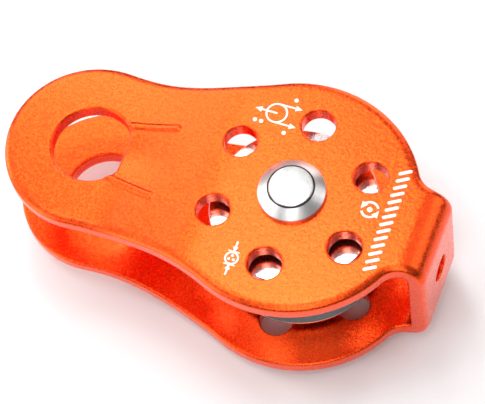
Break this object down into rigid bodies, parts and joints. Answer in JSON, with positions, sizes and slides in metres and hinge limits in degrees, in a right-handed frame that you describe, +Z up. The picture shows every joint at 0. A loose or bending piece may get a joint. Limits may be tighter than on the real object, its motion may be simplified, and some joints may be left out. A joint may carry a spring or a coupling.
{
  "type": "rope pulley",
  "caption": "Rope pulley with fixed side plates bent from one strap, a carabiner eye, a riveted axle and a grooved sheave on ball bearings.",
  "frame": {"origin": "centre of the carabiner eye, midway between the two side plates", "axes": "+X from the eye to the web that joins the plates, +Z along the axle and along the eye, +Y to the left when looking from the eye to the web with +Z up"},
  "size_m": [0.0836, 0.0462, 0.0334],
  "materials": {
    "plates": "satin orange anodised",
    "axle_steel": "fine turned stainless steel",
    "collar_steel": "turned stainless steel",
    "washer": "plain bronze",
    "spacer": "machined",
    "sheave_metal": "polished",
    "bearing_steel": "ground bearing steel",
    "bearing_shield": "pressed steel",
    "bearing_cage": "pressed brass"
  },
  "bodies": {
    "frame": {"side_plates": "plates", "axle": "axle_steel", "upper_rivet_collar": "collar_steel", "lower_rivet_collar": "collar_steel", "upper_thrust_washer": "washer", "lower_thrust_washer": "washer", "centre_spacer": "spacer", "upper_inner_ring": "bearing_steel", "lower_inner_ring": "bearing_steel"},
    "sheave": {"sheave": "sheave_metal", "upper_outer_ring": "bearing_steel", "lower_outer_ring": "bearing_steel", "upper_outside_shield": "bearing_shield", "upper_inside_shield": "bearing_shield", "lower_outside_shield": "bearing_shield", "lower_inside_shield": "bearing_shield"},
    "upper_ball_set": {"upper_balls": "bearing_steel", "upper_cage": "bearing_cage"},
    "lower_ball_set": {"lower_balls": "bearing_steel", "lower_cage": "bearing_cage"}
  },
  "joints": [
    {"name": "sheave_spin", "type": "hinge", "parent": "frame", "child": "sheave", "pos_m": [0.0396, 0, 0], "axis": [0, 0, 1], "continuous": true},
    {"name": "upper_balls_roll", "type": "hinge", "parent": "frame", "child": "upper_ball_set", "pos_m": [0.0396, 0, 0], "axis": [0, 0, 1], "continuous": true},
    {"name": "lower_balls_roll", "type": "hinge", "parent": "frame", "child": "lower_ball_set", "pos_m": [0.0396, 0, 0], "axis": [0, 0, 1], "continuous": true}
  ],
  "couplings": [
    {"joint": "upper_balls_roll", "follows": "sheave_spin", "ratio": 0.6},
    {"joint": "lower_balls_roll", "follows": "sheave_spin", "ratio": 0.6}
  ]
}
